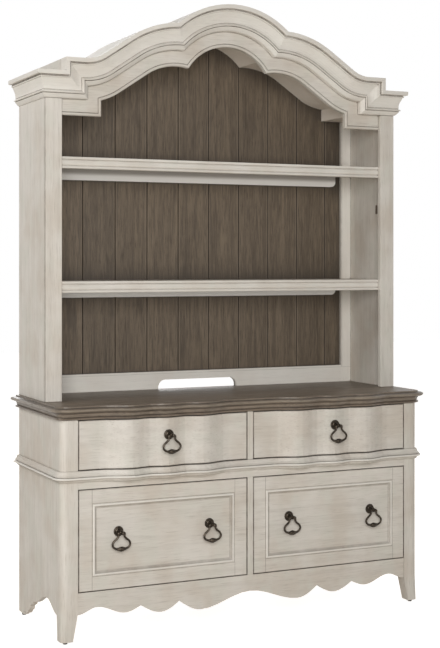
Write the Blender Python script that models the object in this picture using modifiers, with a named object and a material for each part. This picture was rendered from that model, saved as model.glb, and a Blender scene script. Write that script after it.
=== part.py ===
"""Credenza with hutch, built as its separate pieces.

Metres, +Z up, front towards -Y. Heights are from the floor. Every piece is modelled with Y = 0 at the front face of
the base's front legs, and hangs under one empty that brings the origin to the bottom centre of the whole object.
"""
import math

import bmesh
import bpy

# Fits
FIT_GAP = 0.0003                # between pieces that touch
DRAWER_REVEAL = 0.003           # seen all round a drawer front
RUNNER_PLAY = 0.0005            # between a runner and its groove
CUT_OVERRUN = 0.004             # how far cutters pass through
EDGE_EASE = 0.0015              # softened edges of painted boards
WELD_DISTANCE = 0.00001         # joins the seam of a turned piece

# Case of the base
CASE_HALF_WIDTH = 0.696
CASE_DEPTH = 0.475
GLIDE_HEIGHT = 0.0085
GLIDE_RADIUS = 0.008
APRON_TOP = 0.1678
LOWER_OPENING_HEIGHT = 0.344
WAIST_RAIL_HEIGHT = 0.061
UPPER_OPENING_HEIGHT = 0.1695
COUNTER_THICKNESS = 0.046
BOARD_THICKNESS = 0.018
RAIL_THICKNESS = 0.022
DIVIDER_THICKNESS = 0.0212

# Legs
FRONT_LEG_WIDTH = 0.0586
FRONT_LEG_DEPTH = 0.047
LEG_CORNER_RADIUS = 0.025
REAR_LEG_WIDTH = 0.030
REAR_LEG_DEPTH = 0.060
FOOT_SIZE = 0.041
FOOT_CORNER_RADIUS = 0.016
REAR_FOOT_WIDTH = 0.020
LEG_TAPER_HEIGHT = 0.0928

# Panels inside the base
BACK_PANEL_THICKNESS = 0.010
BACK_PANEL_INSET = 0.004
BOTTOM_PANEL_THICKNESS = 0.015
BOTTOM_PANEL_DROP = 0.010       # below the top of the apron
APRON_SETBACK = 0.0015

# Serpentine front of the upper half
SERPENTINE_DEPTH = 0.031
SERPENTINE_SHARES = ((0.0, 1.0), (0.21, 0.55), (0.42, 1.0), (0.77, 0.0))

# Counter and waist moulding, profiles as (share of projection, share of height down from the top)
COUNTER_OVERHANG = 0.032
COUNTER_PROFILE_SHARES = ((0.36, 0.0), (0.37, 0.11), (0.50, 0.13), (0.86, 0.15), (0.99, 0.22), (0.98, 0.30),
                          (0.87, 0.38), (0.68, 0.43), (0.46, 0.46), (0.32, 0.57), (0.23, 0.78), (0.36, 0.80),
                          (0.42, 0.86), (0.40, 0.93), (0.27, 0.965), (0.05, 1.0))
WAIST_PROJECTION = 0.0215
WAIST_HEIGHT = 0.037
WAIST_PROFILE_SHARES = ((0.30, 0.0), (0.50, 0.28), (0.72, 0.42), (0.74, 0.465), (0.52, 0.495), (0.55, 0.525),
                        (0.92, 0.545), (1.0, 0.62), (0.93, 0.70), (0.62, 0.775), (0.38, 0.83), (0.36, 0.93),
                        (0.20, 1.0))

# Edges of the apron and of the side panels: (share along, share of the edge's depth, is it a cusp)
APRON_EDGE_DEPTH = 0.1008       # from the apron's top to its lowest lobe
APRON_EDGE_SHARES = ((0.0, 0.556, False), (0.298, 1.0, False), (0.4245, 0.615, True), (0.53, 0.925, False),
                     (0.648, 0.625, True), (0.737, 0.806, False), (0.893, 0.514, False), (1.0, 0.717, False))
SIDE_EDGE_RISE = 0.1187         # from the bottom of the legs to the top of the side's arch
SIDE_EDGE_SHARES = ((0.0, 0.705, False), (0.285, 1.0, False), (0.70, 0.595, False), (0.735, 0.475, False),
                    (0.795, 0.40, True), (0.82, 0.27, False), (0.92, 0.10, False), (1.0, 0.096, False))

# Drawers
DRAWER_FRONT_THICKNESS = 0.020
DRAWER_FRAME_WIDTH = 0.0465
DRAWER_BEAD_WIDTH = 0.0165
# Steps from the frame to the sunk panel: (share of the bead's width inwards, share of it outwards)
DRAWER_BEAD_SHARES = ((0.11, -0.17), (0.15, 0.27), (0.22, 0.05), (0.16, -0.12), (0.12, -0.24), (0.24, -0.17))
BOX_WALL = 0.014
BOX_BOTTOM = 0.012
BOX_SIDE_CLEARANCE = 0.0127
BOX_LIFT = 0.0085               # above the rail or apron that it slides over
BOX_BACK_CLEARANCE = 0.040
UPPER_BOX_HEIGHT = 0.135
LOWER_BOX_HEIGHT = 0.255
RUNNER_HEIGHT = 0.012
RUNNER_BITE = 0.008             # how deep the side groove is
RUNNER_RISE = 0.110             # from the bottom of the lower box to its runners
GUIDE_WIDTH = 0.040
GUIDE_HEIGHT = 0.030
GUIDE_BITE = 0.006              # how deep the channel under the upper box is

# Pulls
PULL_SPREAD = 0.168             # lower pulls, each side of the drawer's centre
LOWER_PULL_RISE = 0.0215        # above the drawer's centre
UPPER_PULL_RISE = 0.0245
ROSETTE_RADIUS = 0.0178
ROSETTE_THICKNESS = 0.0050
PULL_NECK_RADIUS = 0.0050
PULL_EYE_REACH = 0.0280         # from the drawer's face to the ring's pivot
PULL_EYE_RADIUS = 0.0074
PULL_HOLE_RADIUS = 0.0045
PULL_TIP_LENGTH = 0.0140        # beyond the eye
PULL_TIP_RADIUS = 0.0056
# Turned outline of each stretch: (share of its radius, share of its length)
ROSETTE_SHARES = ((0.0, 0.0), (0.96, 0.0), (1.0, 0.25), (0.95, 0.62), (0.78, 0.82), (0.62, 0.72), (0.45, 1.0))
EYE_SHARES = ((0.66, -0.88), (0.90, -0.5), (1.0, 0.0), (0.90, 0.5), (0.66, 0.88))
TIP_SHARES = ((0.62, 0.14), (0.90, 0.38), (1.0, 0.62), (0.78, 0.88), (0.0, 1.0))
RING_WIRE_RADIUS = 0.0038
RING_GRIP_RADIUS = 0.0088
RING_HALF_WIDTH = 0.0313
RING_DROP = 0.0548
# Half of the pear: (share of the half width, share of the drop)
RING_SHARES = ((0.0, 0.0), (0.29, 0.0), (0.38, 0.07), (0.36, 0.18), (0.41, 0.28), (0.60, 0.39), (0.84, 0.50),
               (1.0, 0.66), (0.93, 0.84), (0.66, 0.955), (0.32, 0.998))
RING_GRIP_SHARE = 0.62          # of the half width that the grip's swelling takes up

# Hutch
HUTCH_DEPTH = 0.312
HUTCH_POST_HEIGHT = 1.040
HUTCH_POST_WIDTH = 0.058
HUTCH_POST_DEPTH = 0.020
HUTCH_SIDE_THICKNESS = 0.022
FACE_SETBACK = 0.017            # of the frieze and the shelf edges behind the posts
LOWER_SHELF_SHARE = 0.3957      # shelf tops above the counter, as shares of the posts' height
UPPER_SHELF_SHARE = 0.8091
SHELF_THICKNESS = 0.022
SHELF_EDGE_HEIGHT = 0.040
SHELF_EDGE_DEPTH = 0.028
SHELF_EDGE_PROFILE_SHARES = ((0.0, 1.0), (0.0, 0.96), (0.0, 0.80), (0.16, 0.765), (0.10, 0.70), (0.05, 0.62),
                             (0.05, 0.40), (0.10, 0.31), (0.17, 0.25), (0.07, 0.21), (0.0, 0.15), (0.0, 0.05),
                             (0.07, 0.0))
CLEAT_THICKNESS = 0.018
CLEAT_SHOWN = 0.023             # below the shelf's front edge
CLEAT_END_CLEARANCE = 0.074     # from the side wall to the end of the cleat
CLEAT_CORNER_RADIUS = 0.018
BACK_STILE_WIDTH = 0.044
BACK_RAIL_HEIGHT = 0.066
BACK_FRAME_THICKNESS = 0.012
PLANK_THICKNESS = 0.010
HUTCH_BACK_INSET = 0.004
PLANK_WIDTH = 0.1275
PLANK_SHIFT = -0.0125           # of the middle plank from the middle of the hutch
GROOVE_HALF_WIDTH = 0.0025
GROOVE_DEPTH = 0.0035
WIRE_SLOT_HALF_WIDTH = 0.163
WIRE_SLOT_HEIGHT = 0.035
WIRE_SLOT_RADIUS = 0.028
TOUCH_PLATE_THICKNESS = 0.003
TOUCH_PLATE_WIDTH = 0.010
TOUCH_PLATE_HEIGHT = 0.034
TOUCH_PLATE_SETBACK = 0.087
TOUCH_PLATE_SHARE = 0.6563      # of the posts' height, from the counter up to its middle

# Pediment: its shape follows the half width of the case
ARCH_RADIUS_SHARE = 0.3467
ARCH_CENTRE_RISE_SHARE = 0.0479
SHOULDER_RADIUS_SHARE = 0.3764
SHOULDER_OUT_SHARE = 0.2881
SHOULDER_DROP_SHARE = 0.0988
SLOPE_LENGTH_SHARE = 0.1752
SLOPE_ANGLE = math.radians(33.9)
SWEEP_RADIUS_SHARE = 0.2892
STEP_OUT_SHARE = 0.784
CROWN_HEIGHT = 0.090
CROWN_PROJECTION = 0.040
# (share of the projection, share of the height), from the lower edge up
CROWN_PROFILE_SHARES = ((0.04, 0.0), (0.14, 0.03), (0.29, 0.105), (0.37, 0.155), (0.33, 0.175), (0.46, 0.19),
                        (0.49, 0.205), (0.45, 0.23), (0.35, 0.265), (0.30, 0.285), (0.34, 0.31), (0.33, 0.38),
                        (0.37, 0.475), (0.45, 0.575), (0.59, 0.705), (0.60, 0.735), (0.70, 0.745), (0.72, 0.775),
                        (0.66, 0.80), (0.66, 0.835), (0.97, 0.84), (1.0, 0.86), (1.0, 1.0))
FRIEZE_DROP = 0.0555            # below the crown's lower line
FRIEZE_THICKNESS = 0.018
FRIEZE_BEAD_HEIGHT = 0.010
FRIEZE_BEAD_PROUD = 0.003
FRIEZE_QUIRK = 0.0022           # width and depth of the groove above the bead
ROOF_THICKNESS = 0.012
SOFFIT_THICKNESS = 0.008

# How finely curves are drawn
CORNER_STEPS = 6
SERPENTINE_STEPS = 22
EDGE_STEPS = 6
ARCH_STEPS = 9
SHOULDER_STEPS = 9
SWEEP_STEPS = 8
SCREW_STEPS = 16
RING_SUBSTEPS = 2
RING_BEVEL_RESOLUTION = 2

# Places that follow from the sizes
RAIL_BOTTOM = APRON_TOP + LOWER_OPENING_HEIGHT
RAIL_TOP = RAIL_BOTTOM + WAIST_RAIL_HEIGHT
COUNTER_BOTTOM = RAIL_TOP + UPPER_OPENING_HEIGHT
COUNTER_TOP = COUNTER_BOTTOM + COUNTER_THICKNESS
LEG_BOTTOM = GLIDE_HEIGHT + FIT_GAP
LEG_TOP = COUNTER_BOTTOM - FIT_GAP
OPENING_OUTER = CASE_HALF_WIDTH - FRONT_LEG_WIDTH
OPENING_INNER = DIVIDER_THICKNESS / 2
DRAWER_CENTRE = (OPENING_OUTER + OPENING_INNER) / 2
DRAWER_HALF_WIDTH = (OPENING_OUTER - OPENING_INNER) / 2 - DRAWER_REVEAL
BACK_PANEL_FRONT = CASE_DEPTH - BACK_PANEL_INSET - BACK_PANEL_THICKNESS
PANEL_SINK = -DRAWER_BEAD_WIDTH * sum(rise for inset, rise in DRAWER_BEAD_SHARES)
BOX_FRONT = DRAWER_FRONT_THICKNESS + FIT_GAP
BOX_BACK = BACK_PANEL_FRONT - BOX_BACK_CLEARANCE
BOX_HALF_WIDTH = DRAWER_HALF_WIDTH - BOX_SIDE_CLEARANCE
UPPER_BOX_BOTTOM = RAIL_TOP + BOX_LIFT
LOWER_BOX_BOTTOM = APRON_TOP + BOX_LIFT
HUTCH_FRONT = CASE_DEPTH - HUTCH_DEPTH
HUTCH_WALL = CASE_HALF_WIDTH - HUTCH_SIDE_THICKNESS
HUTCH_OPENING = CASE_HALF_WIDTH - HUTCH_POST_WIDTH
HUTCH_FACE = HUTCH_FRONT + FACE_SETBACK
HUTCH_FLOOR = COUNTER_TOP + FIT_GAP
PLANK_FRONT = CASE_DEPTH - HUTCH_BACK_INSET - PLANK_THICKNESS
BACK_FRAME_FRONT = PLANK_FRONT - FIT_GAP - BACK_FRAME_THICKNESS
CROWN_LINE = COUNTER_TOP + HUTCH_POST_HEIGHT
ROOF_LINE = CROWN_HEIGHT - ROOF_THICKNESS
LOWER_SHELF_RISE = HUTCH_POST_HEIGHT * LOWER_SHELF_SHARE
UPPER_SHELF_RISE = HUTCH_POST_HEIGHT * UPPER_SHELF_SHARE
TOUCH_PLATE_RISE = HUTCH_POST_HEIGHT * TOUCH_PLATE_SHARE
PULL_REACH = PULL_EYE_REACH + PULL_EYE_RADIUS + PULL_TIP_LENGTH
FRONT_REACH = SERPENTINE_DEPTH + FIT_GAP + PULL_REACH
FRONT_PLANE_Y = (FRONT_REACH - CASE_DEPTH) / 2

# Finishes: colour, roughness, metallic
WHITE_PAINT = ((0.61, 0.56, 0.50, 1.0), 0.55, 0.0)
PLANK_STAIN = ((0.115, 0.095, 0.072, 1.0), 0.6, 0.0)
COUNTER_STAIN = ((0.105, 0.085, 0.068, 1.0), 0.45, 0.0)
DRAWER_WOOD = ((0.55, 0.40, 0.25, 1.0), 0.6, 0.0)
DARK_BRONZE = ((0.045, 0.036, 0.028, 1.0), 0.4, 0.9)
GLIDE_PLASTIC = ((0.03, 0.03, 0.03, 1.0), 0.5, 0.0)

for old_object in list(bpy.data.objects):
    bpy.data.objects.remove(old_object, do_unlink=True)

parts = bpy.data.collections.new("credenza_with_hutch")
cutters = bpy.data.collections.new("credenza_cutters")
bpy.context.scene.collection.children.link(parts)
bpy.context.scene.collection.children.link(cutters)

origin = bpy.data.objects.new("credenza_origin", None)
origin.location = (0, FRONT_PLANE_Y, 0)
parts.objects.link(origin)


# Making objects

def material_for(name, finish):
    colour, roughness, metallic = finish
    material = bpy.data.materials.new(name + "_finish")
    material.use_nodes = True
    shader = material.node_tree.nodes["Principled BSDF"]
    shader.inputs["Base Color"].default_value = colour
    shader.inputs["Roughness"].default_value = roughness
    shader.inputs["Metallic"].default_value = metallic
    material.diffuse_color = colour
    return material


def add_part(name, data, finish, location=(0, 0, 0), rotation=(0, 0, 0), parent=None):
    data.materials.append(material_for(name, finish))
    piece = bpy.data.objects.new(name, data)
    piece.location = location
    piece.rotation_euler = rotation
    piece.parent = parent or origin
    parts.objects.link(piece)
    return piece


def add_cutter(name, mesh, location=(0, 0, 0), rotation=(0, 0, 0), parent=None):
    cutter = bpy.data.objects.new(name, mesh)
    cutter.location = location
    cutter.rotation_euler = rotation
    cutter.parent = parent or origin
    cutter.hide_render = True
    cutter.display_type = "WIRE"
    cutters.objects.link(cutter)
    return cutter


def cut(piece, cutter):
    boolean = piece.modifiers.new("cut_" + cutter.name, "BOOLEAN")
    boolean.operation = "DIFFERENCE"
    boolean.solver = "EXACT"
    boolean.object = cutter


def ease_edges(piece, width=EDGE_EASE, segments=1, angle=math.radians(40)):
    bevel = piece.modifiers.new("eased_edges", "BEVEL")
    bevel.width = width
    bevel.segments = segments
    bevel.limit_method = "ANGLE"
    bevel.angle_limit = angle


def finish_mesh(bm, name, smooth_angle=None):
    bmesh.ops.recalc_face_normals(bm, faces=bm.faces)
    mesh = bpy.data.meshes.new(name)
    bm.to_mesh(mesh)
    bm.free()
    if smooth_angle is not None:
        mesh.shade_smooth()
        mesh.set_sharp_from_angle(angle=smooth_angle)
    return mesh


def add_block(bm, low, high):
    """Add a box between two corners to a bmesh and return its vertices."""
    verts = bmesh.ops.create_cube(bm, size=1)["verts"]
    size = [end - start for start, end in zip(low, high)]
    centre = [(end + start) / 2 for start, end in zip(low, high)]
    bmesh.ops.scale(bm, vec=size, verts=verts)
    bmesh.ops.translate(bm, vec=centre, verts=verts)
    return verts


def block_mesh(name, *corners):
    """Mesh of one or more boxes, each given as a (low, high) pair."""
    bm = bmesh.new()
    for low, high in corners:
        add_block(bm, low, high)
    return finish_mesh(bm, name)


def board_mesh(name, outline, plane, start, thickness):
    """Board with a flat outline in plane xy, xz or yz, from start along the third axis."""
    place = {
        "xy": lambda a, b: (a, b, start),
        "xz": lambda a, b: (a, start, b),
        "yz": lambda a, b: (start, a, b),
    }[plane]
    along = {"xy": (0, 0, thickness), "xz": (0, thickness, 0), "yz": (thickness, 0, 0)}[plane]
    bm = bmesh.new()
    face = bm.faces.new([bm.verts.new(place(a, b)) for a, b in outline])
    grown = bmesh.ops.extrude_face_region(bm, geom=[face])["geom"]
    moved = [item for item in grown if isinstance(item, bmesh.types.BMVert)]
    bmesh.ops.translate(bm, vec=along, verts=moved)
    return finish_mesh(bm, name)


def skinned_mesh(name, sections, smooth_angle=math.radians(35)):
    """Solid through a run of closed sections with equal point counts, closed at both ends."""
    bm = bmesh.new()
    rings = [[bm.verts.new(point) for point in section] for section in sections]
    for ring, following in zip(rings, rings[1:]):
        for i in range(len(ring)):
            j = (i + 1) % len(ring)
            bm.faces.new((ring[i], ring[j], following[j], following[i]))
    bm.faces.new(list(reversed(rings[0])))
    bm.faces.new(rings[-1])
    return finish_mesh(bm, name, smooth_angle)


# Curves

def arc_points(centre, radius, start_angle, end_angle, steps):
    points = []
    for i in range(steps + 1):
        angle = start_angle + (end_angle - start_angle) * i / steps
        points.append((centre[0] + radius * math.cos(angle), centre[1] + radius * math.sin(angle)))
    return points


def eased(share):
    """Half a cosine wave from 0 to 1."""
    return (1 - math.cos(math.pi * share)) / 2


def serpentine(x):
    """How far the upper half swells forward at x."""
    share = abs(abs(x) - DRAWER_CENTRE) / DRAWER_HALF_WIDTH
    for (start, depth), (end, next_depth) in zip(SERPENTINE_SHARES, SERPENTINE_SHARES[1:]):
        if share <= end:
            step = (share - start) / (end - start)
            return SERPENTINE_DEPTH * (depth + (next_depth - depth) * eased(step))
    return 0


def serpentine_places():
    """X places along the front where the serpentine is sampled, left to right."""
    swell = SERPENTINE_SHARES[-1][0] * DRAWER_HALF_WIDTH
    places = []
    for centre in (-DRAWER_CENTRE, DRAWER_CENTRE):
        for i in range(SERPENTINE_STEPS + 1):
            places.append(centre - swell + 2 * swell * i / SERPENTINE_STEPS)
    return places


def scalloped_edge(keys):
    """Points of a lower edge through (along, height, cusp) keys, flat at lobes and sharp at cusps."""
    points = [keys[0][:2]]
    for (a, height, cusp), (next_a, next_height, next_cusp) in zip(keys, keys[1:]):
        for i in range(1, EDGE_STEPS + 1):
            step = i / EDGE_STEPS
            if cusp and not next_cusp:
                blend = math.sin(math.pi / 2 * step)
            elif next_cusp and not cusp:
                blend = 1 - math.cos(math.pi / 2 * step)
            else:
                blend = eased(step)
            points.append((a + (next_a - a) * step, height + (next_height - height) * blend))
    return points


def front_path(projection):
    """Plan of the base's outline at one projection: left back, round the front, right back."""
    side = CASE_HALF_WIDTH + projection
    corner = (CASE_HALF_WIDTH - LEG_CORNER_RADIUS, LEG_CORNER_RADIUS)
    radius = LEG_CORNER_RADIUS + projection
    path = [(-side, CASE_DEPTH)]
    path += arc_points((-corner[0], corner[1]), radius, math.pi, 3 * math.pi / 2, CORNER_STEPS)
    path += [(x, -serpentine(x) - projection) for x in serpentine_places()]
    path += arc_points(corner, radius, -math.pi / 2, 0, CORNER_STEPS)
    path.append((side, CASE_DEPTH))
    return path


def wall_path():
    """Plan of the faces that the waist moulding is fixed to, point for point with front_path."""
    side = CASE_HALF_WIDTH + FIT_GAP
    corner = (CASE_HALF_WIDTH - LEG_CORNER_RADIUS, LEG_CORNER_RADIUS)
    radius = LEG_CORNER_RADIUS + FIT_GAP
    path = [(-side, CASE_DEPTH)]
    path += arc_points((-corner[0], corner[1]), radius, math.pi, 3 * math.pi / 2, CORNER_STEPS)
    path += [(x, -FIT_GAP) for x in serpentine_places()]
    path += arc_points(corner, radius, -math.pi / 2, 0, CORNER_STEPS)
    path.append((side, CASE_DEPTH))
    return path


def pediment_half(offset):
    """Right half of the pediment's line, from the centre out to the foot of the step.

    The offset is measured square to the line, up from the crown's lower edge: a centre arc, a shoulder arc that
    meets it in a cusp, a straight slope, a hollow sweep into the raised shoulder, and the step down to the ear.
    """
    arch_radius = ARCH_RADIUS_SHARE * CASE_HALF_WIDTH + offset
    arch_z = CROWN_LINE + ARCH_CENTRE_RISE_SHARE * CASE_HALF_WIDTH
    shoulder_radius = SHOULDER_RADIUS_SHARE * CASE_HALF_WIDTH + offset
    shoulder_x = SHOULDER_OUT_SHARE * CASE_HALF_WIDTH
    shoulder_z = CROWN_LINE - SHOULDER_DROP_SHARE * CASE_HALF_WIDTH
    sweep_radius = SWEEP_RADIUS_SHARE * CASE_HALF_WIDTH - offset
    slope_length = SLOPE_LENGTH_SHARE * CASE_HALF_WIDTH
    step_x = STEP_OUT_SHARE * CASE_HALF_WIDTH + offset

    # Cusp where the two arcs cross
    gap_x = shoulder_x
    gap_z = shoulder_z - arch_z
    gap = math.hypot(gap_x, gap_z)
    along = (arch_radius ** 2 - shoulder_radius ** 2 + gap ** 2) / (2 * gap)
    across = math.sqrt(arch_radius ** 2 - along ** 2)
    cusp_x = (along * gap_x - across * gap_z) / gap
    cusp_z = arch_z + (along * gap_z + across * gap_x) / gap

    # Centre of the hollow sweep
    normal = (math.sin(SLOPE_ANGLE), math.cos(SLOPE_ANGLE))
    reach = shoulder_radius + sweep_radius
    sweep_x = shoulder_x + normal[0] * reach + normal[1] * slope_length
    sweep_z = shoulder_z + normal[1] * reach - normal[0] * slope_length

    cusp_angle = math.atan2(cusp_z - arch_z, cusp_x)
    line = arc_points((0, arch_z), arch_radius, math.pi / 2, cusp_angle, ARCH_STEPS)
    shoulder_start = math.atan2(cusp_z - shoulder_z, cusp_x - shoulder_x)
    shoulder_end = math.pi / 2 - SLOPE_ANGLE
    line += arc_points((shoulder_x, shoulder_z), shoulder_radius, shoulder_start, shoulder_end, SHOULDER_STEPS)[1:]
    sweep_start = sweep_x - normal[0] * sweep_radius
    for i in range(SWEEP_STEPS + 1):
        x = sweep_start + (step_x - sweep_start) * i / SWEEP_STEPS
        short = max(sweep_x - x, 0)
        line.append((x, sweep_z - math.sqrt(sweep_radius ** 2 - short ** 2)))
    line.append((step_x, CROWN_LINE + offset))
    return line


def pediment_line(offset, end_x):
    """The whole pediment's line, left to right, with its ears out to end_x."""
    half = pediment_half(offset) + [(end_x, CROWN_LINE + offset)]
    left = [(-x, z) for x, z in reversed(half[1:])]
    return left + half


# Base

def leg_section(side, width, depth, radius, z):
    """Plan of a front leg: square inside, rounded at the outer front corner."""
    outer = CASE_HALF_WIDTH
    corner = (outer - radius, radius)
    plan = arc_points(corner, radius, -math.pi / 2, 0, CORNER_STEPS)
    plan += [(outer, depth), (outer - width, depth), (outer - width, 0)]
    return [(side * x, y, z) for x, y in plan]


def add_front_leg(side, label):
    taper_top = LEG_BOTTOM + LEG_TAPER_HEIGHT
    sections = [
        leg_section(side, FOOT_SIZE, FOOT_SIZE, FOOT_CORNER_RADIUS, LEG_BOTTOM),
        leg_section(side, FRONT_LEG_WIDTH, FRONT_LEG_DEPTH, LEG_CORNER_RADIUS, taper_top),
        leg_section(side, FRONT_LEG_WIDTH, FRONT_LEG_DEPTH, LEG_CORNER_RADIUS, LEG_TOP),
    ]
    add_part("front_leg_" + label, skinned_mesh("front_leg_" + label, sections), WHITE_PAINT)


def add_rear_leg(side, label):
    def section(width, z):
        inner = CASE_HALF_WIDTH - width
        front = CASE_DEPTH - REAR_LEG_DEPTH
        plan = [(inner, front), (CASE_HALF_WIDTH, front), (CASE_HALF_WIDTH, CASE_DEPTH), (inner, CASE_DEPTH)]
        return [(side * x, y, z) for x, y in plan]

    taper_top = LEG_BOTTOM + LEG_TAPER_HEIGHT
    sections = [
        section(REAR_FOOT_WIDTH, LEG_BOTTOM),
        section(REAR_LEG_WIDTH, taper_top),
        section(REAR_LEG_WIDTH, LEG_TOP),
    ]
    add_part("rear_leg_" + label, skinned_mesh("rear_leg_" + label, sections), WHITE_PAINT)


def add_glides(side, label):
    front = (side * (CASE_HALF_WIDTH - FOOT_SIZE / 2), FOOT_SIZE / 2, 0)
    rear = (side * (CASE_HALF_WIDTH - REAR_FOOT_WIDTH / 2), CASE_DEPTH - REAR_LEG_DEPTH / 2, 0)
    for place, location in (("front", front), ("rear", rear)):
        name = "foot_glide_" + place + "_" + label
        bm = bmesh.new()
        verts = bmesh.ops.create_cone(bm, cap_ends=True, segments=SCREW_STEPS, radius1=GLIDE_RADIUS,
                                      radius2=GLIDE_RADIUS, depth=GLIDE_HEIGHT)["verts"]
        bmesh.ops.translate(bm, vec=(0, 0, GLIDE_HEIGHT / 2), verts=verts)
        glide = add_part(name, finish_mesh(bm, name), GLIDE_PLASTIC, location)
        ease_edges(glide)


def add_base_side(side, label):
    front = FRONT_LEG_DEPTH + FIT_GAP
    back = CASE_DEPTH - REAR_LEG_DEPTH - FIT_GAP
    keys = []
    for along, rise, cusp in SIDE_EDGE_SHARES:
        keys.append((front + (back - front) * along, LEG_BOTTOM + SIDE_EDGE_RISE * rise, cusp))
    outline = scalloped_edge(keys) + [(back, LEG_TOP), (front, LEG_TOP)]
    inner = CASE_HALF_WIDTH - BOARD_THICKNESS
    start = inner if side > 0 else -CASE_HALF_WIDTH
    name = "base_side_" + label
    add_part(name, board_mesh(name, outline, "yz", start, BOARD_THICKNESS), WHITE_PAINT)


def add_apron():
    end = OPENING_OUTER - FIT_GAP
    keys = [(along * end, APRON_TOP - APRON_EDGE_DEPTH * drop, cusp) for along, drop, cusp in APRON_EDGE_SHARES]
    right = scalloped_edge(keys)
    left = [(-x, z) for x, z in reversed(right[1:])]
    outline = left + right + [(end, APRON_TOP), (-end, APRON_TOP)]
    mesh = board_mesh("front_apron", outline, "xz", APRON_SETBACK, RAIL_THICKNESS)
    add_part("front_apron", mesh, WHITE_PAINT)


def add_case_panels():
    back_half = CASE_HALF_WIDTH - REAR_LEG_WIDTH - FIT_GAP
    bottom_top = APRON_TOP - BOTTOM_PANEL_DROP
    bottom_under = bottom_top - BOTTOM_PANEL_THICKNESS
    mesh = block_mesh("base_back", ((-back_half, BACK_PANEL_FRONT, bottom_under),
                                    (back_half, BACK_PANEL_FRONT + BACK_PANEL_THICKNESS, LEG_TOP)))
    add_part("base_back", mesh, DRAWER_WOOD)

    front = APRON_SETBACK + RAIL_THICKNESS + FIT_GAP
    notch_front = FRONT_LEG_DEPTH + FIT_GAP
    notch_back = CASE_DEPTH - REAR_LEG_DEPTH - FIT_GAP
    back = BACK_PANEL_FRONT - FIT_GAP
    wide = CASE_HALF_WIDTH - BOARD_THICKNESS - FIT_GAP
    right = [(OPENING_OUTER - FIT_GAP, front), (OPENING_OUTER - FIT_GAP, notch_front), (wide, notch_front),
             (wide, notch_back), (back_half, notch_back), (back_half, back)]
    outline = right + [(-x, y) for x, y in reversed(right)]
    mesh = board_mesh("base_bottom", outline, "xy", bottom_under, BOTTOM_PANEL_THICKNESS)
    add_part("base_bottom", mesh, DRAWER_WOOD)


def add_divider():
    apron_back = APRON_SETBACK + RAIL_THICKNESS + FIT_GAP
    rail_back = RAIL_THICKNESS + FIT_GAP
    floor = APRON_TOP - BOTTOM_PANEL_DROP + FIT_GAP
    back = BACK_PANEL_FRONT - FIT_GAP
    outline = [(apron_back, floor), (back, floor), (back, LEG_TOP), (0, LEG_TOP), (0, RAIL_TOP + FIT_GAP),
               (rail_back, RAIL_TOP + FIT_GAP), (rail_back, RAIL_BOTTOM - FIT_GAP), (0, RAIL_BOTTOM - FIT_GAP),
               (0, APRON_TOP + FIT_GAP), (apron_back, APRON_TOP + FIT_GAP)]
    mesh = board_mesh("center_divider", outline, "yz", -DIVIDER_THICKNESS / 2, DIVIDER_THICKNESS)
    add_part("center_divider", mesh, WHITE_PAINT)


def add_waist():
    end = OPENING_OUTER - FIT_GAP
    rail = block_mesh("waist_rail", ((-end, 0, RAIL_BOTTOM), (end, RAIL_THICKNESS, RAIL_TOP)))
    add_part("waist_rail", rail, WHITE_PAINT)

    walls = wall_path()
    rows = []
    for out, down in WAIST_PROFILE_SHARES:
        height = RAIL_TOP - FIT_GAP - WAIST_HEIGHT * down
        rows.append([(x, y, height) for x, y in front_path(WAIST_PROJECTION * out)])
    top = rows[0][0][2]
    bottom = rows[-1][0][2]
    rows.append([(x, y, bottom) for x, y in walls])
    rows.insert(0, [(x, y, top) for x, y in walls])
    sections = [list(section) for section in zip(*rows)]
    add_part("waist_molding", skinned_mesh("waist_molding", sections), WHITE_PAINT)


def add_countertop():
    sections = []
    for out, down in COUNTER_PROFILE_SHARES:
        height = COUNTER_TOP - COUNTER_THICKNESS * down
        sections.append([(x, y, height) for x, y in front_path(COUNTER_OVERHANG * out)])
    add_part("countertop", skinned_mesh("countertop", sections), COUNTER_STAIN)


# Drawers

def upper_front_mesh(name, half_height):
    """Serpentine slab about the drawer's centre, its back flat."""
    swell = SERPENTINE_SHARES[-1][0] * DRAWER_HALF_WIDTH
    places = [-DRAWER_HALF_WIDTH]
    places += [-swell + 2 * swell * i / SERPENTINE_STEPS for i in range(SERPENTINE_STEPS + 1)]
    places.append(DRAWER_HALF_WIDTH)
    outline = [(x, -serpentine(DRAWER_CENTRE + x)) for x in places]
    outline += [(DRAWER_HALF_WIDTH, DRAWER_FRONT_THICKNESS), (-DRAWER_HALF_WIDTH, DRAWER_FRONT_THICKNESS)]
    return board_mesh(name, outline, "xy", -half_height, 2 * half_height)


def lower_front_mesh(name, half_height):
    """Slab with a flat frame, a bead and a sunk panel on its front face."""
    bm = bmesh.new()
    add_block(bm, (-DRAWER_HALF_WIDTH, 0, -half_height), (DRAWER_HALF_WIDTH, DRAWER_FRONT_THICKNESS, half_height))
    bm.faces.ensure_lookup_table()
    face = min(bm.faces, key=lambda candidate: candidate.calc_center_median().y)
    bmesh.ops.inset_region(bm, faces=[face], thickness=DRAWER_FRAME_WIDTH, use_even_offset=True)
    for inset, rise in DRAWER_BEAD_SHARES:
        bmesh.ops.inset_region(bm, faces=[face], thickness=DRAWER_BEAD_WIDTH * inset,
                               depth=DRAWER_BEAD_WIDTH * rise, use_even_offset=True)
    return finish_mesh(bm, name)


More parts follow.
